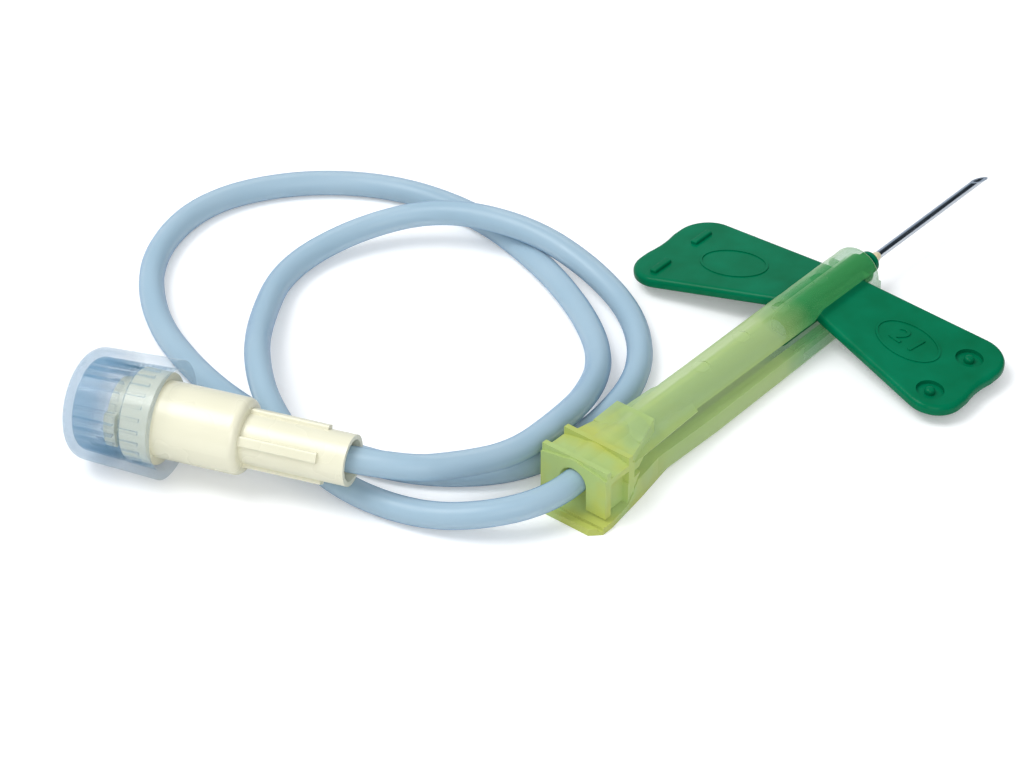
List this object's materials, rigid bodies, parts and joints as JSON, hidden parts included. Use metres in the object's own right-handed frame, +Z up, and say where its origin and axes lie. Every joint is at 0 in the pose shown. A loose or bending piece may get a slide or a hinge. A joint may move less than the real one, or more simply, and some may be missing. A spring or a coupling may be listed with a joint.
{
  "type": "butterfly needle",
  "caption": "Winged blood collection needle with sliding translucent shield, coiled clear tubing and an ivory luer end under a clear cap",
  "frame": {"origin": "on the table under the middle of the winged needle in its shield, tubing and luer end apart", "axes": "+X along the needle towards its point, +Y towards the left wing, +Z up"},
  "size_m": [0.0925, 0.0795, 0.0112],
  "materials": {
    "steel": "polished",
    "bead": "satin",
    "green": "gloss",
    "shield": "satin",
    "tube": "satin",
    "ivory": "gloss",
    "clear": "gloss"
  },
  "bodies": {
    "root": {"cannula": "steel", "needle_bead": "bead", "winged_hub": "green", "tubing": "tube", "luer_hub": "ivory"},
    "shield": {"needle_shield": "shield"},
    "cap": {"luer_cap": "clear"}
  },
  "joints": [
    {"name": "shield_slide", "type": "slide", "parent": "root", "child": "shield", "axis": [1, 0, 0], "range_m": [0, 0.028]},
    {"name": "cap_pull", "type": "slide", "parent": "root", "child": "cap", "axis": [-0.3371, 0.9415, 0], "range_m": [0, 0.012]}
  ]
}
